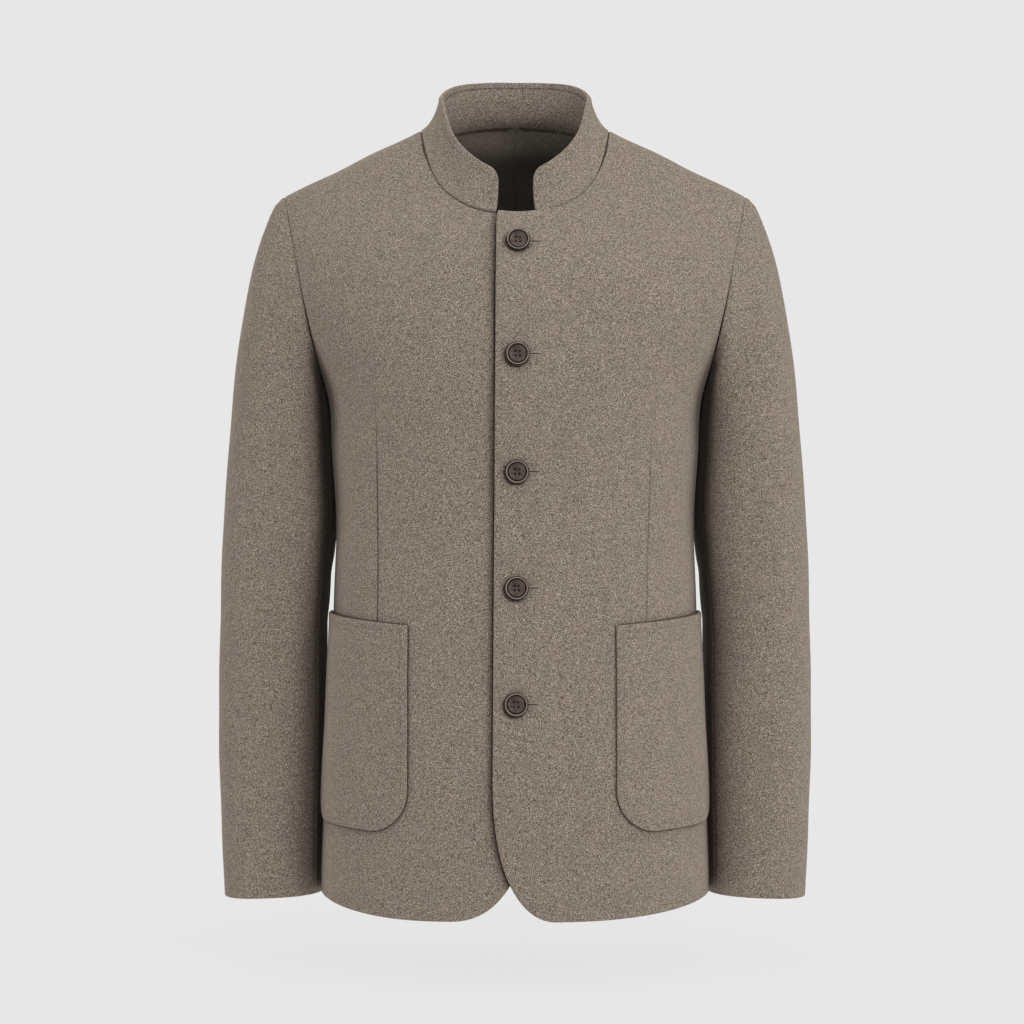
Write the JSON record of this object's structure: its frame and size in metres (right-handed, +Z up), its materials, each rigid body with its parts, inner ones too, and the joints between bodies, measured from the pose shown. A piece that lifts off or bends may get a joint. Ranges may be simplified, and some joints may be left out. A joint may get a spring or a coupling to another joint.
{
  "type": "stand-collar wool jacket",
  "caption": "Hip-length wool jacket with a stand collar, buttoned front, large patch pockets and long sleeves, filled out as if worn.",
  "frame": {"origin": "middle of the neck opening, level with the neck ends of the shoulder seams", "axes": "+Z up, -Y the way the front faces, +X towards the wearer's left"},
  "size_m": [0.5734, 0.2742, 0.7943],
  "materials": {
    "wool": "brushed taupe-grey melange wool",
    "horn": "dark brown horn look, satin with a brighter rim"
  },
  "bodies": {
    "root": {"front_left": "wool", "front_right": "wool", "back_left": "wool", "back_right": "wool", "collar": "wool", "sleeve_top_left": "wool", "sleeve_under_left": "wool", "sleeve_top_right": "wool", "sleeve_under_right": "wool", "pocket_left": "wool", "pocket_right": "wool", "button_1": "horn", "button_2": "horn", "button_3": "horn", "button_4": "horn", "button_5": "horn"}
  },
  "joints": []
}
